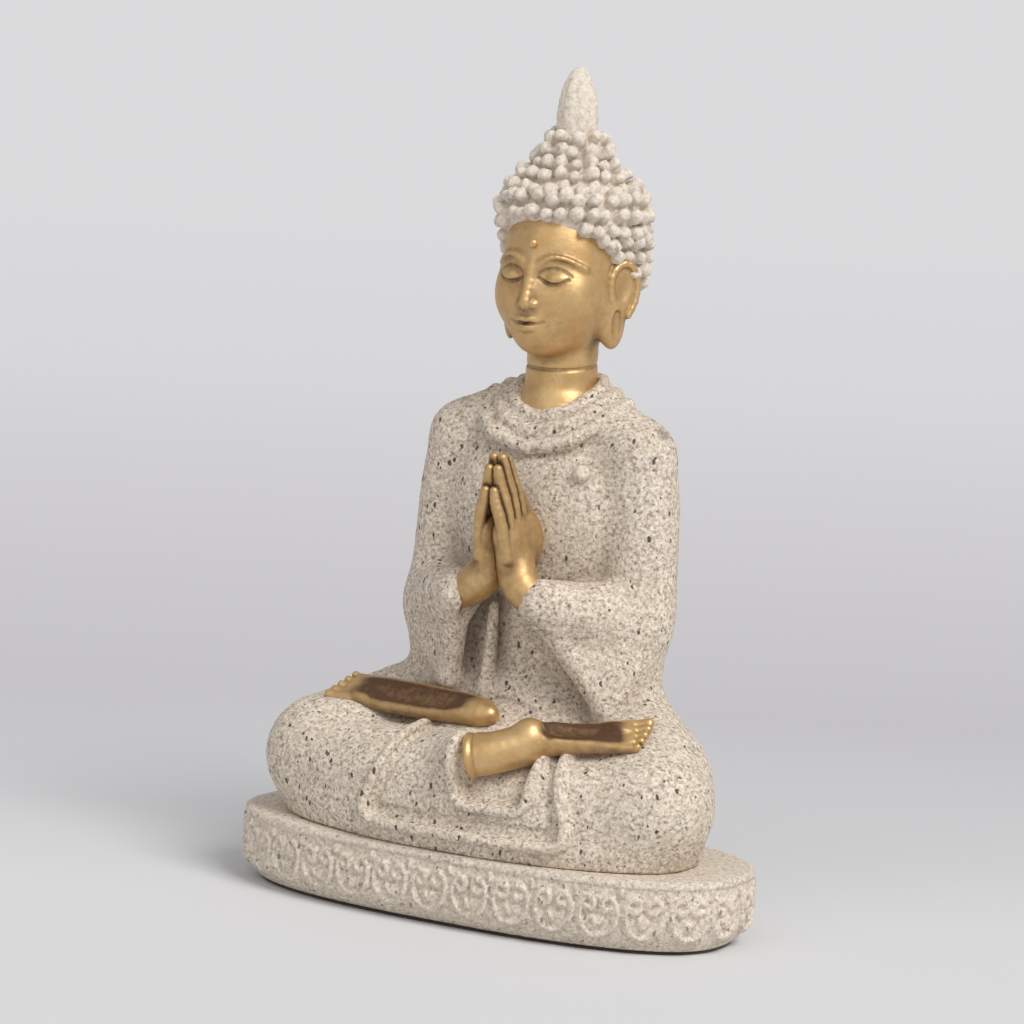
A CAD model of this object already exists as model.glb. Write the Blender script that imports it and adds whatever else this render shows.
"""Seated praying buddha statuette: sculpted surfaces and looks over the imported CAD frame."""
import math

import bpy
import numpy as np
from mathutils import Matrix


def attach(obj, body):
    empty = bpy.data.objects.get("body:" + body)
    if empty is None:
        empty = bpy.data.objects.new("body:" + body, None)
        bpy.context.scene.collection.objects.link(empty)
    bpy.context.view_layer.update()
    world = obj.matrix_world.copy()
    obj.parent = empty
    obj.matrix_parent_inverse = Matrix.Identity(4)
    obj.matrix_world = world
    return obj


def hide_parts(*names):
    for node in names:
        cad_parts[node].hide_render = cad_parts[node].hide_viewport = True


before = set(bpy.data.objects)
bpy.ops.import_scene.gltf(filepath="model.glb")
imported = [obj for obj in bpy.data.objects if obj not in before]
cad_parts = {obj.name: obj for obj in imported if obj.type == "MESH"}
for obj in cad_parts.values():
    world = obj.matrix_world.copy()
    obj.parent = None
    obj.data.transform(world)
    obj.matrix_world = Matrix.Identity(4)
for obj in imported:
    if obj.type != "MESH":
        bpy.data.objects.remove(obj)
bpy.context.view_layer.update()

import openvdb
from mathutils import Matrix, Vector

MM = 0.001
FAR = 60.0  # millimetres: outside everything

# ---------------------------------------------------------------- sizes, in millimetres
PLINTH_A, PLINTH_B, PLINTH_POWER, PLINTH_TOP = 67.0, 30.0, 2.5, 18.0
TORSO_Y, NECK_Y, HAIR_Y = 17.0, 19.6, 20.2
FINIAL_BASE = 185.0
SIDES = (-1, 1)


# ---------------------------------------------------------------- clay: distance fields
def blend_min(a, b, k):
    """Union of two fields, rounded over about k millimetres."""
    if k <= 0:
        return np.minimum(a, b)
    h = np.clip(0.5 + 0.5 * (b - a) / k, 0, 1)
    return b + (a - b) * h - k * h * (1 - h)


def smooth_step(low, high, x):
    t = np.clip((x - low) / (high - low), 0, 1)
    return t * t * (3 - 2 * t)


def turn(rx=0.0, ry=0.0, rz=0.0):
    """Rotation matrix from degrees about X, then Y, then Z."""
    ax, ay, az = (math.radians(v) for v in (rx, ry, rz))
    mx = np.array([[1, 0, 0], [0, math.cos(ax), -math.sin(ax)], [0, math.sin(ax), math.cos(ax)]])
    my = np.array([[math.cos(ay), 0, math.sin(ay)], [0, 1, 0], [-math.sin(ay), 0, math.cos(ay)]])
    mz = np.array([[math.cos(az), -math.sin(az), 0], [math.sin(az), math.cos(az), 0], [0, 0, 1]])
    return mz @ my @ mx


class Shape:
    """A distance function with the ball that holds it."""

    def __init__(self, distance, centre, reach):
        self.distance = distance
        self.centre = np.asarray(centre, float)
        self.reach = reach


def ball(centre, radii, spin=(0, 0, 0)):
    centre = np.asarray(centre, float)
    radii = np.asarray(radii, float)
    m = turn(*spin)

    def distance(p):
        q = (p - centre) @ m
        k0 = np.sqrt(((q / radii) ** 2).sum(1))
        k1 = np.sqrt(((q / radii**2) ** 2).sum(1)) + 1e-9
        return k0 * (k0 - 1) / k1

    return Shape(distance, centre, radii.max())


def bone(a, b, ra, rb):
    """Tapered length with round ends."""
    a, b = np.asarray(a, float), np.asarray(b, float)
    axis = b - a
    span2 = axis @ axis

    def distance(p):
        t = np.clip(((p - a) @ axis) / span2, 0, 1)
        return np.sqrt(((p - a - t[:, None] * axis) ** 2).sum(1)) - (ra + (rb - ra) * t)

    return Shape(distance, (a + b) / 2, math.sqrt(span2) / 2 + max(ra, rb))


def torus(centre, axis, radius, roll):
    """Round ring about an axis."""
    centre = np.asarray(centre, float)
    axis = np.asarray(axis, float) / np.linalg.norm(axis)

    def distance(p):
        q = p - centre
        h = q @ axis
        return np.hypot(np.sqrt(np.maximum((q * q).sum(1) - h * h, 0)) - radius, h) - roll

    return Shape(distance, centre, radius + roll)


def chain(stations, k=1.0):
    """Bones through stations of (x, y, z, radius)."""
    bones = [bone(s[:3], t[:3], s[3], t[3]) for s, t in zip(stations, stations[1:])]
    centre = np.mean([s[:3] for s in stations], axis=0)
    reach = max(np.linalg.norm(np.array(s[:3]) - centre) + s[3] for s in stations)

    def distance(p):
        d = bones[0].distance(p)
        for piece in bones[1:]:
            d = blend_min(d, piece.distance(p), k)
        return d

    return Shape(distance, centre, reach + k)


def wedge(corners, radii):
    """Rounded three-cornered sheet with its own thickness at each corner."""
    a, b, c = (np.asarray(v, float) for v in corners)
    ra, rb, rc = radii
    ab, ac = b - a, c - a
    normal = np.cross(ab, ac)
    normal /= np.linalg.norm(normal)
    bb, bc, cc = ab @ ab, ab @ ac, ac @ ac
    edges = [bone(a, b, ra, rb), bone(b, c, rb, rc), bone(c, a, rc, ra)]
    centre = (a + b + c) / 3

    def distance(p):
        q = p - a
        qb, qc = q @ ab, q @ ac
        v = (cc * qb - bc * qc) / (bb * cc - bc * bc)
        w = (bb * qc - bc * qb) / (bb * cc - bc * bc)
        rim = np.min([edge.distance(p) for edge in edges], axis=0)
        flat = np.abs(q @ normal) - (ra + v * (rb - ra) + w * (rc - ra))
        return np.where((v >= 0) & (w >= 0) & (v + w <= 1), np.minimum(rim, flat), rim)

    reach = max(np.linalg.norm(v - centre) for v in (a, b, c)) + max(radii)
    return Shape(distance, centre, reach)


def curve(points, count):
    """Smooth run of stations through the given ones."""
    pts = np.array(points, float)
    padded = np.vstack([2 * pts[0] - pts[1], pts, 2 * pts[-1] - pts[-2]])
    out = []
    spans = len(pts) - 1
    for j in range(count):
        u = j / (count - 1) * spans
        i = min(int(u), spans - 1)
        t = u - i
        p0, p1, p2, p3 = padded[i : i + 4]
        square = 2 * p0 - 5 * p1 + 4 * p2 - p3
        cube = 3 * p1 - p0 - 3 * p2 + p3
        out.append(0.5 * (2 * p1 + (p2 - p0) * t + square * t * t + cube * t**3))
    return [tuple(v) for v in out]


def mirrored(side, stations):
    return [(side * s[0],) + tuple(s[1:]) for s in stations]


class Clay:
    """Shapes joined or cut one after another with rounded seams."""

    def __init__(self):
        self.steps = []

    def add(self, shape, k=0.0):
        self.steps.append((shape, k, 1))
        return self

    def cut(self, shape, k=0.0):
        self.steps.append((shape, k, -1))
        return self

    def __call__(self, p):
        d = np.full(len(p), FAR)
        for shape, k, sign in self.steps:
            away = ((p - shape.centre) ** 2).sum(1)
            near = away < (shape.reach + 6 + k) ** 2
            if not near.any():
                continue
            s = shape.distance(p[near])
            if sign > 0:
                d[near] = blend_min(d[near], s, k)
            else:
                d[near] = -blend_min(-d[near], s, k)
        return d


def surface_along(field, start, direction, length=40.0):
    """Where a straight way from inside to outside leaves the surface."""
    t = np.linspace(0, length, 400)
    values = field(np.asarray(start, float) + t[:, None] * np.asarray(direction, float))
    outside = np.where(values > 0)[0]
    return t[outside[0]]


# ---------------------------------------------------------------- clay to mesh
def sculpt(name, field, low, high, cell, body="root"):
    """Closed quad mesh of field = 0 between two corners, on a grid that is shared by all pieces of one cell size."""
    block = 4
    first = np.floor(np.asarray(low, float) / cell / block).astype(int) * block
    blocks = np.ceil((np.asarray(high, float) / cell - first) / block).astype(int) + 1
    corner = first * cell
    mids = np.stack(np.meshgrid(*[np.arange(n) for n in blocks], indexing="ij"), -1).reshape(-1, 3)
    middle = corner + (mids * block + (block - 1) / 2) * cell
    rough = field(middle)
    dense = np.empty(tuple(blocks * block), np.float32)
    tiled = np.clip(rough, -3 * cell, 3 * cell).reshape(blocks)
    dense[:] = np.repeat(np.repeat(np.repeat(tiled, block, 0), block, 1), block, 2)
    active = np.where(np.abs(rough) < 5.5 * cell + 0.4)[0]
    local = np.stack(np.meshgrid(*[np.arange(block)] * 3, indexing="ij"), -1).reshape(-1, 3)
    for start in range(0, len(active), 6000):
        part = mids[active[start : start + 6000]]
        index = (part[:, None, :] * block + local[None]).reshape(-1, 3)
        values = field(corner + index * cell)
        dense[index[:, 0], index[:, 1], index[:, 2]] = np.clip(values, -3 * cell, 3 * cell)
    grid = openvdb.FloatGrid(background=3 * cell)
    grid.copyFromArray(dense)
    points, quads = grid.convertToQuads(isovalue=0.0)
    points = (points * cell + corner) * MM
    mesh = bpy.data.meshes.new(name)
    mesh.vertices.add(len(points))
    mesh.vertices.foreach_set("co", points.astype(np.float32).ravel())
    mesh.loops.add(quads.size)
    mesh.loops.foreach_set("vertex_index", quads.astype(np.int32).ravel())
    mesh.polygons.add(len(quads))
    mesh.polygons.foreach_set("loop_start", np.arange(0, quads.size, 4, dtype=np.int32))
    mesh.update(calc_edges=True)
    mesh.shade_smooth()
    obj = bpy.data.objects.new(name, mesh)
    bpy.context.scene.collection.objects.link(obj)
    print(f"{name}: {len(quads)} faces", flush=True)
    return obj


# ---------------------------------------------------------------- robe over the crossed legs
def limb(stations, count, side=1):
    """Smooth length through stations of (x, y, z, radius) given for the +X side."""
    return chain(mirrored(side, curve(stations, count)), 0.4)


def legs_clay():
    c = Clay()
    for s in SIDES:
        knee = 45.5
        thigh = [(13, TORSO_Y, 33, 14), (28, 9, 33.5, 14.2), (40, 0, 33, 14.6), (knee, -6, 32.2, 13.6)]
        shin = [(knee, -6, 31.6, 13.2), (35, -9.5, 30.4, 13), (20, -13, 30, 12.6), (2, -14.5, 30, 12.2)]
        cloth = [(22, TORSO_Y, 53, 8.2), (31, TORSO_Y - 4, 46, 9), (40, 4, 39, 11)]
        c.add(limb(thigh, 9, s), 4)
        c.add(limb(shin, 9, s), 4)
        c.add(limb(cloth, 7, s), 9)
    c.add(ball((0, 2, 34), (34, 16, 14)), 5)
    c.add(ball((0, TORSO_Y, 33), (26, 14, 14)), 4)
    half = [(-47, 1), (-45, -8), (-36, -15), (-18, -20)]
    outline = half + [(0, -21)] + [(-x, y) for x, y in reversed(half)]
    spread = [(x, y, 20.5, 7.0) for x, y in outline]
    c.add(chain(curve(spread, 25), 0.4), 6)
    c.cut(ball((-43, -3, 56.5), (17, 11, 10.4)), 4)
    c.add(limb([(-4, -15, 35.5, 8.4), (1.5, -20.5, 38, 6.6), (6.0, -25.2, 40.6, 4.9)], 6), 2.5)
    return c


def torso_clay():
    c = Clay()
    c.add(ball((0, TORSO_Y, 97), (26, 12.8, 25)))
    c.add(ball((0, TORSO_Y, 66), (23, 13, 30)), 8)
    c.add(ball((0, TORSO_Y - 4, 46), (25, 14, 13)), 6)
    for s in SIDES:
        shoulder = [(8, TORSO_Y + 2, 118.2, 6.6), (16.5, TORSO_Y + 0.8, 115.6, 7.3), (24.2, TORSO_Y, 110.8, 8.0)]
        c.add(limb(shoulder, 6, s), 5)
        c.add(ball((s * 9, TORSO_Y - 5, 97), (12.5, 7.4, 12)), 6)
    c.add(bone((0, TORSO_Y + 1, 106), (0, TORSO_Y + 1.5, 111), 12.5, 10.5), 4)
    return c


def sleeve_clay(s):
    """Upper arm, forearm and the cloth hanging from them; the hanging edge differs from side to side."""
    c = Clay()
    upper = [
        (24.0, TORSO_Y, 110.6, 8.3),
        (25.6, TORSO_Y, 100, 8.8),
        (26.5, TORSO_Y - 0.4, 88, 8.6),
        (26.8, TORSO_Y - 1, 75, 8.8),
    ]
    c.add(limb(upper, 9, s))
    fore = [(26.8, TORSO_Y - 2, 73.5, 8.6), (22, 7.5, 73, 8.0), (17, 1.2, 74, 7.1), (11.6, -3.6, 75.6, 5.9)]
    c.add(limb(fore, 8, s), 2.5)
    left_edge = (11.8, -3.4, 73.5), (26.5, 3.2, 51)
    right_edge = (-12.4, -3.2, 72.5), (-16.0, 1.8, 54)
    edge_top, edge_foot = left_edge if s > 0 else right_edge
    elbow = (s * 27, 13.5, 69)
    hip = (s * 26.5, TORSO_Y - 2, 52)
    c.add(wedge((elbow, edge_top, edge_foot), (8.2, 3.4, 2.6)), 3)
    c.add(wedge((elbow, edge_foot, hip), (8.2, 2.6, 7.0)), 3)
    if s < 0:
        c.cut(limb([(-8.8, -4.8, 76, 3.2), (-8.2, -3.6, 67, 1.8), (-9.4, -2.2, 56, 1.3)], 6), 1.0)
        c.add(limb([(-4.6, 1.2, 73, 1.2), (-4.8, 1.2, 63, 1.5), (-6.0, 1.6, 52, 1.6)], 6), 2.2)
    crease = [(18.6, 2.4, 104, 0.3), (18.8, 3.0, 96, 1.8), (18.6, 3.0, 86, 2.4), (19.5, 1.5, 82.5, 1.6)]
    c.cut(limb(crease, 8, s), 2.6)
    return c


LEGS = legs_clay()
TORSO = torso_clay()
SLEEVES = {s: sleeve_clay(s) for s in SIDES}

# one side of each soft fold, from front to back: x, y, z
COLLAR_FOLDS = [
    [(0, 9.6, 118.0), (7.2, 11.6, 120.0), (10.8, 18.6, 124.4), (7.8, 26.4, 126.2), (0, 29.4, 126.8)],
    [(0, 7.0, 114.4), (9.2, 9.2, 117.4), (14.6, 18.2, 123.4), (10.4, 27.6, 123.4), (0, 30.8, 123.0)],
    [(0, 4.9, 110.9), (11.6, 7.0, 114.0), (18.6, 17.6, 121.8), (12.6, 28.4, 119.4), (0, 31.0, 118.4)],
    [(0, 8.0, 108.0), (11.0, 10.0, 110.0), (17.0, 17.6, 115.0), (12.0, 27.0, 112.5), (0, 29.4, 112.0)],
]


def collar_clay():
    """Soft cloth folds around the neck, from the neckline out, with lower cloth between them."""
    c = Clay()
    folds = [np.array(line) for line in COLLAR_FOLDS]
    for inner, outer, between in zip(folds, folds[1:], (0.95, 0.95, 1.3)):
        for t, roll in ((0, 1.75), (0.36, between), (0.68, between)):
            line = inner + (outer - inner) * t
            for s in SIDES:
                c.add(limb([tuple(q) + (roll,) for q in line], 10, s), 0.5)
    return c


collar = collar_clay()


def stud(p):
    return ball((15.0, 5.3, 106.3), (2.1, 2.1, 2.1)).distance(p)


def rounded_box(x, z, cx, cz, hx, hz, corner):
    """Signed distance in a plane to a rectangle with round corners."""
    qx = np.abs(x - cx) - hx + corner
    qz = np.abs(z - cz) - hz + corner
    return np.hypot(np.maximum(qx, 0), np.maximum(qz, 0)) + np.minimum(np.maximum(qx, qz), 0) - corner


def apron_panel(x, z):
    return rounded_box(x, z, 6, 46, 28 - 0.33 * (z - 28), 24.5, 7)


def ridge(distance, half):
    """Round-backed ridge of the given half width along distance = 0, from 0 to 1."""
    return np.sqrt(np.clip(1 - (distance / half) ** 2, 0, 1))


def apron_height(p):
    """How far the apron and its hems stand off the shins."""
    x, y, z = p.T
    panel = apron_panel(x, z)
    tuck = rounded_box(x, z, 13.5, 45, 9.4, 15, 4.2)
    front = smooth_step(-5, -12, y)
    sheet = 0.5 * smooth_step(0.4, -0.4, panel)
    hem = 1.7 * ridge(panel + 1.2, 1.5)
    gutter = -0.8 * ridge(panel + 4.2, 1.6)
    fold = 1.8 * ridge(tuck, 1.5)
    hollow = -2.2 * smooth_step(-0.8, -2.4, tuck)
    return front * (sheet + np.maximum(hem, fold) + np.minimum(gutter, hollow))


def robe_layers(p):
    """Separate layers of the robe and the whole robe blended together."""
    layers = {
        "crossed_legs": LEGS(p),
        "torso": TORSO(p),
        "right_sleeve": SLEEVES[-1](p),
        "left_sleeve": SLEEVES[1](p),
    }
    whole = blend_min(layers["crossed_legs"], layers["torso"], 6)
    whole = blend_min(whole, layers["right_sleeve"], 3.2)
    whole = blend_min(whole, layers["left_sleeve"], 3.2)
    whole = whole - apron_height(p)
    layers["robe_collar"] = collar(p)
    layers["breast_stud"] = stud(p)
    whole = blend_min(whole, layers["robe_collar"], 0.5)
    whole = blend_min(whole, layers["breast_stud"], 0.2)
    x, y, z = p.T
    layers["robe_apron"] = np.maximum(layers["crossed_legs"] - 3, np.maximum(apron_panel(x, z) - 0.8, y + 12))
    whole = np.maximum(whole, PLINTH_TOP + 0.1 - z)
    return layers, whole


def robe_piece(node):
    """Field of one robe piece: it owns the surface where it is nearest, and runs on 2 mm under its neighbours."""
    first = {"robe_apron": -2.5, "robe_collar": -1.0, "breast_stud": -0.5}

    def field(p):
        layers, whole = robe_layers(p)
        own = layers[node] + first.get(node, 0)
        others = [layers[k] + first.get(k, 0) for k in layers if k != node]
        outside = (own - np.min(others, axis=0)) / 2
        sink = 0.35 * smooth_step(0.0, 2.0, outside)
        return np.maximum(whole + sink, outside - 2.0)

    return field


# ---------------------------------------------------------------- head
def on_skin(clay, places, roll):
    """Stations on the front of the clay at the given (x, z) places."""
    return [(x, 12 - surface_along(clay, (x, 12, z), (0, -1, 0), 20), z, roll) for x, z in places]


def head_clay():
    """Plain skull, jaw, features and ears: thirds from hairline to brow, brow to nose, nose to chin."""
    c = Clay()
    c.add(ball((0, 18.6, 154.2), (14.5, 16.6, 21.2)))
    c.add(ball((0, 14.0, 145.6), (11.7, 11.9, 11.8)), 6)
    c.add(ball((0, 6.6, 137.4), (4.6, 3.9, 3.6)), 5)
    for s in SIDES:
        c.add(ball((s * 6.2, 8.8, 147.0), (5.0, 4.6, 5.4)), 5)
        c.cut(ball((s * 5.7, 0.5, 152.0), (3.9, 2.4, 2.2)), 2.2)
        brow = [
            (1.3, 2.7, 153.6, 0.35),
            (2.6, 2.3, 155.6, 0.4),
            (5.6, 2.7, 157.0, 0.4),
            (8.8, 4.6, 156.4, 0.35),
            (11.6, 8.0, 154.4, 0.25),
        ]
        c.add(chain(mirrored(s, curve(brow, 12)), 0.2), 1.3)
        c.add(ball((s * 5.7, 5.2, 151.6), (3.5, 3.0, 2.3)), 0.7)
    bridge = [
        (0, 2.9, 155.6, 0.85),
        (0, 1.8, 152.4, 0.9),
        (0, 0.8, 149.2, 1.0),
        (0, 0.1, 146.3, 1.3),
        (0, 0.5, 145.3, 1.2),
    ]
    c.add(chain(curve(bridge, 9), 0.4), 1.4)
    c.add(ball((0, 4.6, 141.2), (5.2, 3.0, 3.6)), 3.5)
    for s in SIDES:
        c.add(ball((s * 1.8, 1.7, 145.5), (1.05, 1.6, 1.15)), 0.6)
        c.cut(ball((s * 0.95, 1.0, 144.6), (0.42, 0.6, 0.3)), 0.3)
        lips = [(0, 1.05, 141.7, 0.6), (1.1, 0.95, 142.1, 0.7), (2.6, 1.7, 141.8, 0.6), (4.2, 3.1, 141.4, 0.3)]
        c.add(chain(mirrored(s, curve(lips, 9)), 0.2), 0.5)
        lips = [(0, 1.1, 139.8, 0.95), (1.6, 1.4, 139.95, 0.85), (3.6, 2.9, 140.8, 0.35)]
        c.add(chain(mirrored(s, curve(lips, 7)), 0.2), 0.5)
    for s in SIDES:
        eye = [(2.2, 151.9), (3.8, 150.9), (5.7, 150.5), (7.6, 150.8), (9.4, 151.9)]
        crease = [(2.3, 152.8), (4.0, 153.9), (6.0, 154.3), (8.0, 153.8), (9.7, 152.5)]
        mouth = [(0, 140.85), (1.4, 141.05), (2.9, 141.0), (4.6, 141.6)]
        for line, roll, k in ((eye, 0.34, 0.3), (crease, 0.22, 0.4), (mouth, 0.2, 0.3)):
            c.cut(chain(on_skin(c, mirrored(s, curve(line, 12)), roll), 0), k)
    neck = [
        (0, NECK_Y - 1.4, 112, 8.6),
        (0, NECK_Y - 0.4, 118.5, 9.9),
        (0, NECK_Y, 121, 9.5),
        (0, NECK_Y, 124, 8.7),
        (0, NECK_Y, 138, 8.4),
    ]
    c.add(chain(curve(neck, 14), 0.4), 1.8)
    c.add(torus((0, NECK_Y, 121.6), (0, -0.12, 1), 9.3, 0.7), 0.5)
    for s in SIDES:
        c.add(ball((s * 12.4, 19.0, 143.5), (2.6, 4.5, 7.0)), 2.5)
        add_ear(c, s)
    return c


def add_ear(c, s):
    """Long-lobed ear, turned a little outward: outer rim, hollow and lobe."""
    spin = (0, 0, s * -26)

    def spot(back, height, out, lean=0.0):
        return s * (15.2 + 0.44 * back + 0.9 * out - lean), 18.8 + 0.9 * back - 0.44 * out, height

    c.add(ball(spot(0.2, 149.6, -0.2), (1.6, 4.4, 6.6), spin), 1.2)
    c.add(ball(spot(-0.8, 141.4, 0, 0.9), (1.6, 3.2, 6.2), spin), 2.2)
    c.cut(ball(spot(0.1, 150.4, 1.9), (1.3, 2.5, 4.2), spin), 0.6)
    c.cut(ball(spot(-0.8, 141.2, 2.0, 0.9), (0.8, 1.1, 3.2), spin), 0.8)
    rim = [(-3.4, 149.0), (-3.2, 152.8), (-0.8, 155.6), (2.4, 155.2), (4.2, 151.6), (3.8, 147.0), (2.0, 143.4)]
    c.add(chain([spot(back, height, 0.9) + (0.85,) for back, height in curve(rim, 14)], 0.3), 0.5)
    c.add(ball(spot(-3.0, 147.6, 0.9), (0.9, 1.0, 1.3), spin), 0.5)


def ring_cut(p, height, radius, roll):
    """Crease around the neck, a little lower in front."""
    return np.hypot(np.hypot(p[:, 0], p[:, 1] - NECK_Y) - radius, p[:, 2] - height - 0.12 * (p[:, 1] - NECK_Y)) - roll


def head_field():
    clay = head_clay()

    def field(p):
        d = clay(p)
        return -blend_min(-d, ring_cut(p, 130.4, 8.6, 0.32), 0.5)

    return field


# ---------------------------------------------------------------- hair and spire
HAIR_BALLS = [((0, HAIR_Y + 0.8, 165.5), (16.6, 16.8, 12.2)), ((0, HAIR_Y + 4.3, 156.5), (15.9, 13, 14.6))]


def hairline(y):
    """Height of the hairline at depth y."""
    return np.interp(y, [-10, 8, 15, 21.5, 30, 60], [164.4, 162.4, 157.0, 149.2, 144.6, 140])


def hair_core(p):
    d = ball(*HAIR_BALLS[0]).distance(p)
    d = blend_min(d, ball(*HAIR_BALLS[1]).distance(p), 3)
    return blend_min(d, bone((0, HAIR_Y, 170.5), (0, HAIR_Y, 180), 12.2, 7.2).distance(p), 3)


def hair_knobs():
    """Curls standing off the cap, in staggered rings from the nape to the spire."""
    rng = np.random.default_rng(11)
    knobs = []
    heights = np.concatenate([np.arange(143.5, 171, 3.35), np.arange(172.2, 186, 3.0)])
    for row, height in enumerate(heights):
        reach = surface_along(hair_core, (0, HAIR_Y, height), (1, 0, 0))
        count = max(7, int(round(2 * math.pi * reach / 3.6)))
        for i in range(count):
            angle = ((i + 0.5 * (row % 2)) / count) * 2 * math.pi + rng.uniform(-0.8, 0.8) / reach
            aim = np.array([math.cos(angle), math.sin(angle), 0])
            z = height + rng.uniform(-0.65, 0.65)
            r = surface_along(hair_core, (0, HAIR_Y, z), aim)
            base = np.array([0, HAIR_Y, z]) + aim * r
            if z < hairline(base[1]) + 1.3:
                continue
            lift = np.array([0, 0, 0.15 + 0.6 * smooth_step(160, 178, z)]) + rng.uniform(-0.2, 0.2, 3)
            out = aim + lift
            out /= np.linalg.norm(out)
            size = rng.uniform(0.85, 1.12) * (1.0 if z < 176 else 0.92)
            stand = rng.uniform(0.8, 2.2)
            knobs.append(bone(base - out * 1.0, base + out * stand, 1.75 * size, 1.65 * size))
    return knobs


def wobble(p, size):
    """Soft uneven swell between -1 and 1, of the given size in millimetres."""
    q = p * (2 * math.pi / size)
    a = np.sin(q[:, 0] + 1.3 * np.sin(q[:, 1] * 0.7)) + np.sin(q[:, 1] * 1.1 + 1.7 * np.sin(q[:, 2] * 0.8 + 1))
    return (a + np.sin(q[:, 2] * 0.9 + 1.1 * np.sin(q[:, 0] * 1.2 + 2))) / 3


def hair_field():
    knobs = Clay()
    for knob in hair_knobs():
        knobs.add(knob, 0.2)

    def field(p):
        y, z = p[:, 1], p[:, 2]
        core = np.maximum(hair_core(p), (hairline(y) - z) * 0.8)
        core = np.maximum(core, z - FINIAL_BASE - 1)
        rough = 0.14 * wobble(p, 2.3) + 0.25 * wobble(p + 5, 4.1)
        return blend_min(core + 0.3, knobs(p) + rough, 0.3) * 0.85

    return field


def spire_field(p):
    x, y, z = p[:, 0], p[:, 1] - HAIR_Y, p[:, 2]
    radius = np.interp(
        z,
        [180, 185, 187, 189.5, 192, 194.5, 197, 198.9, 200.5, 201.3, 201.6, 203],
        [4.2, 4.8, 4.95, 4.9, 4.75, 4.35, 3.65, 2.95, 2.1, 1.2, 0.0, -2],
    )
    angle = np.arctan2(y, x)
    rib = 0.3 * np.abs(np.cos(4 * angle + 0.3 * np.sin(z))) * smooth_step(201, 195, z)
    side = (np.hypot(x, y) - radius + 0.18 - rib) * 0.9 + 0.1 * wobble(p, 2.6)
    return np.maximum(side, 181 - z)


# ---------------------------------------------------------------- hands and feet
FINGERS = [
    (-7.7, 87.0, 96.0, 104.8, 0.86),
    (-4.9, 87.5, 99.0, 109.4, 0.94),
    (-2.0, 88.0, 100.0, 111.4, 0.98),
    (0.9, 88.0, 99.0, 109.8, 0.94),
]


def hand_clay(s):
    """One hand of the pair, its palm on the middle plane."""
    c = Clay()
    m = turn(14)
    pivot = np.array([0, -3.0, 84.0])

    def lean(x, y, z, r):
        return tuple((np.array([s * (x + 0.1), y, z]) - pivot) @ m.T + pivot) + (r,)

    c.add(ball(lean(2.7, -2.2, 88.0, 0)[:3], (3.5, 6.8, 8.4), (14, 0, 0)))
    c.add(ball(lean(1.6, -3.0, 92.5, 0)[:3], (2.3, 5.8, 4.6), (14, 0, 0)), 1.5)
    c.add(ball(lean(3.6, 2.9, 88.5, 0)[:3], (3.3, 4.2, 7.0), (14, 0, 0)), 2.0)
    for y, knuckle, middle, top, size in FINGERS:
        run = [
            (3.6, y, knuckle, 1.75 * size),
            (2.8, y, middle, 1.65 * size),
            (1.6, y * 0.95 - 0.1, (middle + top) / 2, 1.55 * size),
            (1.1, y * 0.86 - 0.3, top - 1.2, 1.2 * size),
        ]
        c.add(chain([lean(*q) for q in curve(run, 8)], 0.2), 0.15)
    thumb = [(3.2, 2.4, 84, 2.6), (2.6, 3.9, 91, 1.9), (1.6, 3.4, 99.5, 1.4)]
    c.add(chain([lean(*q) for q in curve(thumb, 6)], 0.3), 1.0)
    wrist = [lean(3.2, -2.8, 85, 4.2), (s * 5.2, -4.2, 80, 4.6), (s * 8.8, -4.0, 77, 4.4), (s * 13, -2.5, 75.4, 4.0)]
    c.add(chain(curve(wrist, 8), 0.4), 2.0)
    if s < 0:
        hem = [
            (-5.0, -5.4, 83.6, 0.3),
            (-7.4, -5.9, 82.4, 0.45),
            (-10.0, -6.0, 79.4, 0.5),
            (-11.0, -6.2, 76.2, 0.45),
            (-11.0, -6.4, 73.4, 0.3),
        ]
        c.add(chain(curve(hem, 12), 0.2), 0.3)
        c.add(wedge(((-5.4, -4.8, 81.6), (-10.2, -5.0, 77.5), (-9.2, -5.6, 74.0)), (0.9, 0.8, 0.9)), 0.6)
    return c


def hand_field(s):
    clay = hand_clay(s)

    def field(p):
        return np.maximum(clay(p), 0.12 - s * p[:, 0])

    return field


def sole_shape(heel, toe, across, widths, heights, power=2.5):
    """Flattened foot from heel to ball: half widths and half heights are spread evenly along it."""
    heel, toe = np.asarray(heel, float), np.asarray(toe, float)
    length = np.linalg.norm(toe - heel)
    along = (toe - heel) / length
    side = np.asarray(across, float)
    side = side - (side @ along) * along
    side /= np.linalg.norm(side)
    up = np.cross(along, side)
    up *= np.sign(up[2])
    axes = np.stack([along, side, up], 1)
    spots = np.linspace(0, 1, len(widths))

    def distance(p):
        q = (p - heel) @ axes
        t = np.clip(q[:, 0] / length, 0, 1)
        half, tall = np.interp(t, spots, widths), np.interp(t, spots, heights)
        round_ = (np.abs(q[:, 1] / half) ** power + np.abs(q[:, 2] / tall) ** power) ** (1 / power)
        skin = (round_ - 1) * np.minimum(half, tall)
        beyond = np.abs(q[:, 0] - t * length)
        return (np.hypot(np.maximum(skin + 1.5, 0), beyond) + np.minimum(skin + 1.5, 0) - 1.5) * 0.85

    shape = Shape(distance, (heel + toe) / 2, length / 2 + max(widths) + 1)
    return shape, lambda a, b, c: heel + a * along + b * side + c * up


# radius and reach past the ball of the foot, great toe first
TOES = [(1.35, 4.1), (1.1, 3.9), (1.05, 3.3), (1.0, 2.6), (0.95, 1.8)]


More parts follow.
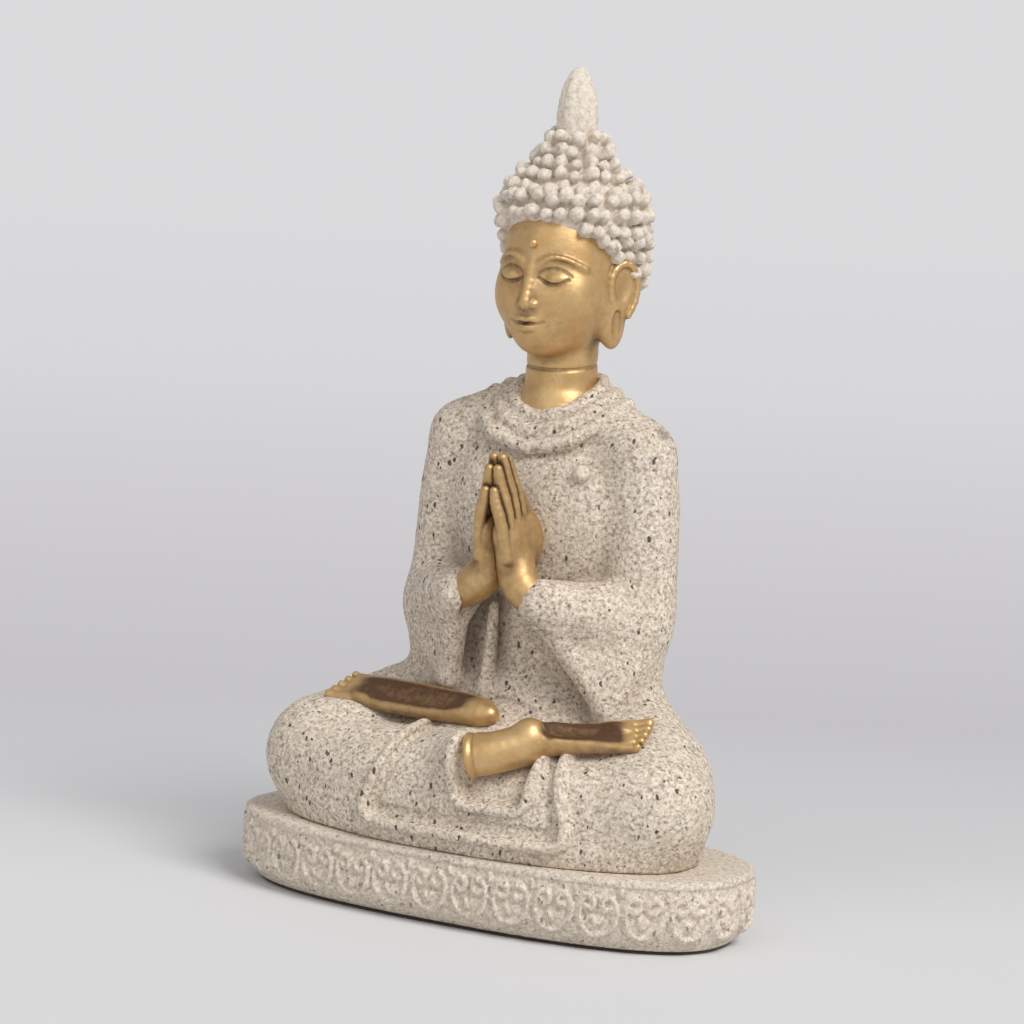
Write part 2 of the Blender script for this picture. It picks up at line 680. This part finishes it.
def foot_clay(heel, toe, across, big_toe, widths, heights):
    """Foot lying on its back with the sole up: body, hollow sole, toes. big_toe is the side of the great toe."""
    c = Clay()
    body, at = sole_shape(heel, toe, across, widths, heights)
    length = np.linalg.norm(np.subtract(toe, heel))
    c.add(body)
    hollow = (length * 0.42, widths[2] - 0.9, 2.3)
    c.cut(ball(at(length * 0.46, 0, heights[2] + 1.3), hollow, foot_spin(heel, toe, across)), 1.0)
    c.add(ball(at(length * 0.86, big_toe * 2.2, heights[4] - 1.0), (3.2, 2.4, 1.3)), 1.2)
    for i, (r, tip) in enumerate(TOES):
        side = big_toe * (0.86 - 0.43 * i) * widths[-1]
        root = tuple(at(length - 2.0, side * 0.95, 0.0)) + (r,)
        neck = tuple(at(length + tip * 0.6, side, 0.1)) + (r * 0.92,)
        end = tuple(at(length + tip, side, 0.5)) + (r,)
        c.add(chain([root, neck, end], 0.2), 0.4)
    up = at(0, 0, 1) - at(0, 0, 0)

    def sole_patina(p, normals):
        """Brown patina rubbed into the hollow of the sole, leaving its rim and the toes bright."""
        q = p - at(0, 0, 0)
        along = (q @ (at(1, 0, 0) - at(0, 0, 0))) / length
        half = np.interp(along, np.linspace(0, 1, len(widths)), widths)
        aside = np.abs(q @ (at(0, 1, 0) - at(0, 0, 0))) / half
        inside = smooth_step(0.0, 0.14, along) * smooth_step(1.02, 0.86, along) * smooth_step(0.86, 0.55, aside)
        return 0.66 * inside * smooth_step(0.3, 0.7, normals @ up)

    return c, sole_patina


def foot_spin(heel, toe, across):
    """Angles that lay a ball along the foot and tip it to the side with the sole."""
    d = np.subtract(toe, heel)
    tip = math.degrees(math.atan2(across[2], math.hypot(across[0], across[1])))
    rise = math.degrees(math.atan2(d[2], math.hypot(d[0], d[1])))
    heading = math.degrees(math.atan2(d[1], d[0]))
    return (tip if d[0] * across[1] > 0 else -tip), -rise, heading


ANKLE_AXIS = (0.94, 0.27, 0.2)


def half_space(point, normal):
    """Everything behind a plane."""
    normal = np.asarray(normal, float) / np.linalg.norm(normal)
    point = np.asarray(point, float)
    return Shape(lambda p: (p - point) @ normal, point, FAR)


def right_foot_clay():
    """Foot on the left thigh, with the ankle coming out of the robe from the other side."""
    widths, heights = (3.5, 4.2, 3.9, 4.3, 4.9, 4.7), (3.6, 3.4, 2.7, 2.3, 1.9, 1.5)
    c, patina = foot_clay((20.0, -18.2, 46.2), (40.2, -9.2, 48.4), (-0.35, 0.75, 0.52), 1, widths, heights)
    c.add(chain(curve([(8.2, -25.4, 41.9, 5.2), (12.5, -24.2, 42.8, 4.9), (18, -20.8, 44.8, 4.9)], 7), 0.3), 2.2)
    c.add(ball((19.4, -20.2, 47.2), (3.9, 3.9, 4.3)), 1.6)
    c.add(torus((7.4, -25.8, 41.6), ANKLE_AXIS, 4.7, 0.8), 0.4)
    c.cut(torus((8.6, -25.4, 41.9), ANKLE_AXIS, 5.2, 0.3), 0.3)
    c.cut(half_space((6.4, -26, 41.5), ANKLE_AXIS), 0.5)
    return c, patina


def left_foot_clay():
    """Foot on the right thigh, sole up and tipped to the front."""
    widths, heights = (3.6, 4.6, 5.4, 5.6, 5.5, 4.8), (2.7, 2.5, 2.1, 1.9, 1.8, 1.5)
    c, patina = foot_clay((-1.0, -6.8, 48.2), (-40.4, -3.0, 48.3), (0.08, 0.82, 0.52), -1, widths, heights)
    c.add(chain(curve([(1.0, -8.0, 48.1, 2.6), (-2.6, -7.7, 48.2, 2.9), (-7, -7.2, 48.3, 2.4)], 5), 0.3), 1.6)
    return c, patina


# ---------------------------------------------------------------- plinth and pad
def plinth_side(p, inset):
    """Rough distance to the plinth's oval wall, and the way along it."""
    a, b = PLINTH_A - inset, PLINTH_B - inset
    x, y = np.abs(p[:, 0]) / a, np.abs(p[:, 1]) / b
    norm = np.maximum((x**PLINTH_POWER + y**PLINTH_POWER) ** (1 / PLINTH_POWER), 1e-3)
    gx = (x / norm) ** (PLINTH_POWER - 1) / a
    gy = (y / norm) ** (PLINTH_POWER - 1) / b
    return (norm - 1) / np.maximum(np.hypot(gx, gy), 1e-4)


def wall_lengths(count=2000):
    """Angle parameter against distance along the wall, for evenly spaced relief."""
    t = np.linspace(0, 2 * math.pi, count + 1)
    c, s = np.cos(t), np.sin(t)
    x = PLINTH_A * np.sign(c) * np.abs(c) ** (2 / PLINTH_POWER)
    y = PLINTH_B * np.sign(s) * np.abs(s) ** (2 / PLINTH_POWER)
    run = np.concatenate([[0], np.cumsum(np.hypot(np.diff(x), np.diff(y)))])
    return np.unwrap(np.arctan2(y, x)), run


def line_distance(u, v, points):
    """Distance in a plane to a polyline."""
    best = np.full(len(u), 9.0)
    for (ax, az), (bx, bz) in zip(points, points[1:]):
        ex, ez = bx - ax, bz - az
        t = np.clip(((u - ax) * ex + (v - az) * ez) / (ex * ex + ez * ez), 0, 1)
        best = np.minimum(best, np.hypot(u - ax - t * ex, v - az - t * ez))
    return best


WALL_ANGLE, WALL_RUN = wall_lengths()
MOTIFS = 30
PITCH = WALL_RUN[-1] / MOTIFS

# half of one heart-shaped scroll: distance from its middle line, height
HEART = [
    (0, 4.1), (1.9, 4.6), (3.7, 6.6), (4.5, 9.3), (4.2, 12.0),
    (2.9, 13.5), (1.3, 13.0), (1.0, 11.3), (2.1, 10.3), (2.9, 11.2),
]
STEM = np.array(curve(HEART, 30))
LEAVES = [np.array([[PITCH / 2, 15.2], [PITCH / 2, 13.9]]), np.array([[0.0, 6.8], [0.9, 8.4]])]


def plinth_field(p):
    x, y, z = p.T
    rounding = 3.6 * np.clip(1 - (z - 0.9) / 6.5, 0, 1) ** 2
    side = plinth_side(p, 0) + rounding
    near = np.abs(side) < 3
    relief = np.zeros(len(p))
    if near.any():
        angle = np.arctan2(y[near], x[near])
        run = np.interp(np.mod(angle - WALL_ANGLE[0], 2 * math.pi) + WALL_ANGLE[0], WALL_ANGLE, WALL_RUN)
        u = np.abs(np.mod(run, PITCH) - PITCH / 2)
        h = z[near]
        lines = [line_distance(u, h, STEM)] + [line_distance(u, h, leaf) + 0.1 for leaf in LEAVES]
        band = smooth_step(2.8, 3.8, h) * smooth_step(16.6, 15.6, h)
        relief[near] = band * 1.0 * ridge(np.min(lines, axis=0), 0.85)
        relief[near] += 0.5 * smooth_step(15.8, 16.4, h)
    side = side - relief + 0.7
    top = z - PLINTH_TOP
    return -blend_min(-np.maximum(side, 0.9 - z), -top, 1.2)


def pad_mesh():
    """Felt pad: a thin oval slab with a soft edge."""
    steps = 160
    inset = 4.6
    rows = [(inset + 0.35, 0.0), (inset, 0.25), (inset, 0.75), (inset + 0.2, 0.95)]
    verts, faces = [], []
    for grow, z in rows:
        a, b = PLINTH_A - grow, PLINTH_B - grow
        for i in range(steps):
            t = 2 * math.pi * i / steps
            c, s = math.cos(t), math.sin(t)
            verts.append((
                a * math.copysign(abs(c) ** (2 / PLINTH_POWER), c) * MM,
                b * math.copysign(abs(s) ** (2 / PLINTH_POWER), s) * MM,
                z * MM,
            ))
    for r in range(len(rows) - 1):
        for i in range(steps):
            j = (i + 1) % steps
            faces.append((r * steps + i, r * steps + j, (r + 1) * steps + j, (r + 1) * steps + i))
    faces.append(tuple(range(steps - 1, -1, -1)))
    faces.append(tuple((len(rows) - 1) * steps + i for i in range(steps)))
    mesh = bpy.data.meshes.new("felt_base")
    mesh.from_pydata(verts, [], faces)
    mesh.update()
    obj = bpy.data.objects.new("felt_base", mesh)
    bpy.context.scene.collection.objects.link(obj)
    return obj


# ---------------------------------------------------------------- looks
def node(tree, kind, **values):
    n = tree.nodes.new(kind)
    for key, value in values.items():
        if key in n.inputs:
            n.inputs[key].default_value = value
        else:
            setattr(n, key, value)
    return n


def start_material(name):
    mat = bpy.data.materials.new(name)
    mat.use_nodes = True
    tree = mat.node_tree
    shader = tree.nodes["Principled BSDF"]
    place = node(tree, "ShaderNodeTexCoord")
    scale = node(tree, "ShaderNodeMapping")
    scale.inputs["Scale"].default_value = (1000, 1000, 1000)
    tree.links.new(place.outputs["Object"], scale.inputs["Vector"])
    return mat, tree, shader, scale.outputs["Vector"]


def noise(tree, where, scale, detail=3.0, rough=0.55):
    n = node(tree, "ShaderNodeTexNoise", Scale=scale, Detail=detail, Roughness=rough)
    tree.links.new(where, n.inputs["Vector"])
    return n.outputs["Fac"]


def ramp(tree, value, stops):
    n = node(tree, "ShaderNodeValToRGB")
    bar = n.color_ramp
    while len(bar.elements) < len(stops):
        bar.elements.new(0.5)
    for element, (at, color) in zip(bar.elements, stops):
        element.position = at
        element.color = tuple(color) + (1,) if len(color) == 3 else color
    tree.links.new(value, n.inputs["Fac"])
    return n.outputs["Color"]


def mix(tree, factor, a, b, blend="MIX"):
    n = node(tree, "ShaderNodeMix", data_type="RGBA", blend_type=blend)
    for socket, value in ((n.inputs[0], factor), (n.inputs[6], a), (n.inputs[7], b)):
        if hasattr(value, "links"):
            tree.links.new(value, socket)
        elif isinstance(value, (int, float)):
            socket.default_value = value
        else:
            socket.default_value = tuple(value) + (1,)
    return n.outputs[2]


def math_node(tree, operation, a, b=0.0):
    n = node(tree, "ShaderNodeMath", operation=operation)
    for socket, value in zip(n.inputs, (a, b)):
        if hasattr(value, "links"):
            tree.links.new(value, socket)
        else:
            socket.default_value = value
    return n.outputs[0]


def remap(tree, value, low, high, to_low=0.0, to_high=1.0):
    n = node(tree, "ShaderNodeMapRange")
    tree.links.new(value, n.inputs["Value"])
    for key, v in (("From Min", low), ("From Max", high), ("To Min", to_low), ("To Max", to_high)):
        n.inputs[key].default_value = v
    return n.outputs["Result"]


def bump(tree, shader, height, distance, strength=1.0):
    n = node(tree, "ShaderNodeBump", Strength=strength, Distance=distance * MM)
    tree.links.new(height, n.inputs["Height"])
    tree.links.new(n.outputs["Normal"], shader.inputs["Normal"])
    return n


def stone_material(name, lift=0.0):
    """Cast resin filled with stone grains: cream, tan and brown grains with sparse dark flecks."""
    mat, tree, shader, mm = start_material(name)
    grain = node(tree, "ShaderNodeTexVoronoi", Scale=1.75, Randomness=1.0)
    tree.links.new(mm, grain.inputs["Vector"])
    chip = node(tree, "ShaderNodeSeparateColor")
    tree.links.new(grain.outputs["Color"], chip.inputs["Color"])
    cells = ramp(tree, chip.outputs[0], [
        (0.0, (0.10, 0.072, 0.052)),
        (0.14, (0.26, 0.195, 0.14)),
        (0.32, (0.52, 0.42, 0.33)),
        (0.66, (0.75, 0.635, 0.51)),
        (1.0, (0.97, 0.90, 0.80)),
    ])
    fine = ramp(tree, noise(tree, mm, 1.0, 5.0, 0.75), [
        (0.365, (0.10, 0.075, 0.055)),
        (0.45, (0.54, 0.45, 0.355)),
        (0.55, (0.83, 0.73, 0.61)),
        (0.70, (0.97, 0.91, 0.82)),
    ])
    body = mix(tree, 0.64, cells, fine)
    broad = remap(tree, noise(tree, mm, 0.12, 3.0), 0.35, 0.65)
    body = mix(tree, math_node(tree, "MULTIPLY", broad, 0.25), body, (0.56, 0.46, 0.34))
    flecks = node(tree, "ShaderNodeTexVoronoi", Scale=0.40, Randomness=1.0)
    squash = node(tree, "ShaderNodeMapping")
    squash.inputs["Rotation"].default_value = (0.5, 0.3, 0.2)
    squash.inputs["Scale"].default_value = (1.5, 1.5, 0.8)
    bend = node(tree, "ShaderNodeVectorMath", operation="ADD")
    shake = node(tree, "ShaderNodeTexNoise", Scale=0.9, Detail=2.0)
    tree.links.new(mm, shake.inputs["Vector"])
    tree.links.new(mm, bend.inputs[0])
    tree.links.new(shake.outputs["Color"], bend.inputs[1])
    tree.links.new(bend.outputs[0], squash.inputs["Vector"])
    tree.links.new(squash.outputs["Vector"], flecks.inputs["Vector"])
    pick = node(tree, "ShaderNodeSeparateColor")
    tree.links.new(flecks.outputs["Color"], pick.inputs["Color"])
    size = remap(tree, pick.outputs[1], 0.45, 1.0, 0.0, 0.30)
    dark = remap(tree, math_node(tree, "SUBTRACT", size, flecks.outputs["Distance"]), 0.0, 0.04)
    body = mix(tree, math_node(tree, "MULTIPLY", dark, 0.9), body, (0.035, 0.028, 0.024))
    cavity = node(tree, "ShaderNodeAttribute", attribute_name="cavity")
    deep = remap(tree, cavity.outputs["Fac"], 0.12, 0.8)
    body = mix(tree, math_node(tree, "MULTIPLY", deep, 0.6), body, (0.20, 0.145, 0.10))
    if lift:
        body = mix(tree, lift, body, (0.86, 0.78, 0.68))
    tree.links.new(body, shader.inputs["Base Color"])
    shader.inputs["Roughness"].default_value = 0.75
    shader.inputs["Specular IOR Level"].default_value = 0.35
    steps = math_node(tree, "MULTIPLY", chip.outputs[1], 0.35)
    bumps = math_node(tree, "ADD", noise(tree, mm, 1.6, 4.0, 0.65), steps)
    bump(tree, shader, bumps, 0.3, 0.8)
    return mat


def gold_material(name):
    """Satin antique gold paint with brown patina in its creases."""
    mat, tree, shader, mm = start_material(name)
    cloud = remap(tree, noise(tree, mm, 0.22, 4.0, 0.6), 0.3, 0.7)
    color = mix(tree, cloud, (0.58, 0.36, 0.15), (0.70, 0.48, 0.235))
    streak = remap(tree, noise(tree, mm, 1.1, 5.0, 0.7), 0.5, 0.75)
    color = mix(tree, math_node(tree, "MULTIPLY", streak, 0.25), color, (0.30, 0.175, 0.075))
    cavity = node(tree, "ShaderNodeAttribute", attribute_name="cavity")
    drift = math_node(tree, "MULTIPLY", math_node(tree, "SUBTRACT", noise(tree, mm, 0.6, 4.0), 0.5), 0.4)
    deep = remap(tree, math_node(tree, "ADD", cavity.outputs["Fac"], drift), 0.12, 0.72)
    color = mix(tree, deep, color, (0.095, 0.043, 0.016))
    tree.links.new(color, shader.inputs["Base Color"])
    tree.links.new(remap(tree, deep, 0, 1, 0.72, 0.3), shader.inputs["Metallic"])
    rough = remap(tree, noise(tree, mm, 1.6, 4.0), 0.3, 0.7, 0.36, 0.46)
    tree.links.new(math_node(tree, "ADD", rough, math_node(tree, "MULTIPLY", deep, 0.2)), shader.inputs["Roughness"])
    bump(tree, shader, noise(tree, mm, 1.5, 5.0, 0.65), 0.08, 0.7)
    return mat


def felt_material(name):
    mat, tree, shader, mm = start_material(name)
    fuzz = noise(tree, mm, 5.0, 6.0, 0.8)
    brown = ramp(tree, fuzz, [(0.3, (0.018, 0.010, 0.007)), (0.7, (0.06, 0.036, 0.026))])
    tree.links.new(brown, shader.inputs["Base Color"])
    shader.inputs["Roughness"].default_value = 0.95
    shader.inputs["Sheen Weight"].default_value = 0.3
    bump(tree, shader, fuzz, 0.2, 0.8)
    return mat


def add_cavity(obj, field, near=0.7, far=2.6, strength=(0.65, 0.6), patina=None):
    """Stores how enclosed each point is, from the field a little way off the surface."""
    mesh = obj.data
    co = np.empty(len(mesh.vertices) * 3, np.float32)
    normal = np.empty_like(co)
    mesh.vertices.foreach_get("co", co)
    mesh.vertex_normals.foreach_get("vector", normal)
    co, normal = co.reshape(-1, 3) / MM, normal.reshape(-1, 3)
    value = np.zeros(len(co))
    for reach, weight in zip((near, far), strength):
        parts = np.array_split(co + normal * reach, max(1, len(co) // 150000))
        free = np.concatenate([field(part) for part in parts])
        value += weight * np.clip(1 - free / reach, 0, 1)
    if patina:
        value += patina(co, normal)
    layer = mesh.attributes.new("cavity", "FLOAT", "POINT")
    layer.data.foreach_set("value", np.clip(value, 0, 1).astype(np.float32))


# ---------------------------------------------------------------- pieces
STONE = stone_material("speckled_stone")
PALE = stone_material("pale_speckled_stone", 0.52)
BASE = stone_material("plinth_stone", 0.26)
GOLD = gold_material("antique_gold")
FELT = felt_material("brown_felt")
DRAFT = 1.0


def make(name, nodes, field, low, high, cell, material, slot, shade_field=None, **cavity):
    """Sculpted piece with its finish, in place of the CAD nodes that it stands for."""
    obj = sculpt(name, field, low, high, cell * DRAFT)
    add_cavity(obj, shade_field or field, **cavity)
    obj.data.materials.append(material)
    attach(obj, "root")
    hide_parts(*nodes)
    return obj


def worn(p, normals):
    """Even thin patina of the hands."""
    return 0.2


def whole_robe(p):
    return robe_layers(p)[1]


# low corner, high corner and grid cell of each robe piece
ROBE_BOXES = {
    "crossed_legs": ((-62, -32, 17), (62, 34, 66), 0.6),
    "torso": ((-34, 2, 38), (34, 32, 128), 0.6),
    "right_sleeve": ((-40, -14, 45), (-2, 30, 122), 0.6),
    "left_sleeve": ((2, -14, 45), (40, 30, 122), 0.6),
    "robe_collar": ((-27, -4, 104), (27, 38, 130), 0.35),
    "breast_stud": ((10, 1, 102), (18, 12, 110), 0.3),
    "robe_apron": ((-28, -34, 17), (38, -6, 50), 0.38),
}
for piece, (low, high, cell) in ROBE_BOXES.items():
    skin = BASE if piece == "breast_stud" else STONE
    make("stone_" + piece, [piece], robe_piece(piece), low, high, cell, skin, "stone", whole_robe)

pad = pad_mesh()
pad.data.materials.append(FELT)
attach(pad, "root")
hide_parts("felt_pad")
relief_cell = 0.4 / DRAFT**0.7
shade = {"near": 0.5, "far": 1.6, "strength": (0.5, 0.45)}
make("scroll_plinth", ["plinth"], plinth_field, (-69, -32, 0), (69, 32, 19), relief_cell, BASE, "stone", **shade)

head = head_field()
make("gilded_head", ["head"], head, (-19, -3, 112), (19, 37, 177), 0.26, GOLD, "gilding", near=0.5, far=2.2)
urna = ball((0, 2.15, 159.8), (1.15, 0.9, 1.15)).distance
make("forehead_bead", ["urna_bead"], urna, (-2, 0, 158), (2, 4, 162.5), 0.12, GOLD, "gilding", near=0.3, far=1.0)
shade = {"near": 0.8, "far": 2.4, "strength": (0.28, 0.3)}
make("curled_hair", ["hair_cap"], hair_field(), (-24, -3, 138), (24, 45, 188), 0.34, PALE, "pale_stone", **shade)
make("crown_spire", ["crown_finial"], spire_field, (-7, 13, 180), (7, 27, 203), 0.2, PALE, "pale_stone")

HANDS = {-1: ("right", (-20, -18, 68), (0, 8, 114)), 1: ("left", (0, -18, 68), (20, 8, 114))}
shade = {"near": 0.45, "far": 2.2, "strength": (0.75, 0.75), "patina": worn}
for side, (word, low, high) in HANDS.items():
    make(f"gilded_{word}_hand", [f"{word}_hand"], hand_field(side), low, high, 0.2, GOLD, "gilding", **shade)

FEET = {
    "right_foot": (right_foot_clay(), (0, -33, 33), (46, 2, 56)),
    "left_foot": (left_foot_clay(), (-46, -18, 38), (12, 8, 56)),
}
for piece, ((foot, sole), low, high) in FEET.items():
    shade = {"near": 0.5, "far": 1.8, "strength": (0.45, 0.3), "patina": sole}
    make("gilded_" + piece, [piece], foot, low, high, 0.24, GOLD, "gilding", **shade)

# ---------------------------------------------------------------- floor, camera and light
VIEW_TURN = 30.0


def floor_material(name):
    """Pale sweep, a touch darker in a band a little way behind the statue."""
    mat = bpy.data.materials.new(name)
    mat.use_nodes = True
    tree = mat.node_tree
    shader = tree.nodes["Principled BSDF"]
    place = node(tree, "ShaderNodeTexCoord")
    split = node(tree, "ShaderNodeSeparateXYZ")
    turned = node(tree, "ShaderNodeMapping")
    turned.inputs["Rotation"].default_value = (0, 0, math.radians(-VIEW_TURN))
    tree.links.new(place.outputs["Object"], turned.inputs["Vector"])
    tree.links.new(turned.outputs["Vector"], split.inputs["Vector"])
    way = remap(tree, split.outputs[1], 0.0, 2.5)
    shade = ramp(tree, way, [
        (0.0, (0.70, 0.70, 0.71)),
        (0.03, (0.64, 0.636, 0.65)),
        (0.11, (0.555, 0.546, 0.565)),
        (0.28, (0.62, 0.61, 0.63)),
        (0.50, (0.675, 0.67, 0.69)),
        (1.0, (0.70, 0.70, 0.715)),
    ])
    tree.links.new(shade, shader.inputs["Base Color"])
    shader.inputs["Roughness"].default_value = 1.0
    shader.inputs["Specular IOR Level"].default_value = 0.0
    return mat


bpy.ops.mesh.primitive_plane_add(size=600, location=(0, 0, 0))
floor = bpy.context.object
floor.name = "floor"
floor.data.materials.append(floor_material("pale_floor"))


def aim_camera(azimuth=VIEW_TURN, elevation=7.5, roll=3.2, distance=1000.0, target=(0, 0, 100), off=(0.475, 4.038)):
    """Long lens a metre away: azimuth is measured from the front, toward the figure's left."""
    a, e, t = (math.radians(v) for v in (azimuth, elevation, roll))
    across = Vector((math.cos(a), math.sin(a), 0))
    back = Vector((math.sin(a) * math.cos(e), -math.cos(a) * math.cos(e), math.sin(e)))
    up = back.cross(across)
    right = across * math.cos(t) + up * math.sin(t)
    top = up * math.cos(t) - across * math.sin(t)
    place = (Vector(target) + back * distance - right * off[0] - top * off[1]) * MM
    data = bpy.data.cameras.new("camera")
    data.lens = 148.0
    data.sensor_width = 36.0
    data.clip_start, data.clip_end = 0.01, 1000
    cam = bpy.data.objects.new("camera", data)
    bpy.context.scene.collection.objects.link(cam)
    cam.matrix_world = Matrix((
        (right.x, top.x, back.x, place.x),
        (right.y, top.y, back.y, place.y),
        (right.z, top.z, back.z, place.z),
        (0, 0, 0, 1),
    ))
    bpy.context.scene.camera = cam


aim_camera()


def sun_light(name, toward, power, spread, color=(1, 1, 1)):
    """Soft far light, its direction given from the statue to the light."""
    data = bpy.data.lights.new(name, "SUN")
    data.energy = power
    data.angle = math.radians(spread)
    data.color = color
    lamp = bpy.data.objects.new(name, data)
    bpy.context.scene.collection.objects.link(lamp)
    lamp.rotation_euler = Vector(toward).to_track_quat("Z", "Y").to_euler()


sun_light("key", (0.95, -0.35, 1.0), 2.15, 30, (1, 0.99, 0.97))
sun_light("front", (0.1, -1.0, 0.6), 0.4, 60)
world = bpy.context.scene.world or bpy.data.worlds.new("studio")
bpy.context.scene.world = world
world.use_nodes = True
world.node_tree.nodes["Background"].inputs["Color"].default_value = (0.985, 0.985, 1.0, 1)
world.node_tree.nodes["Background"].inputs["Strength"].default_value = 0.47
bpy.context.scene.view_settings.view_transform = "Standard"
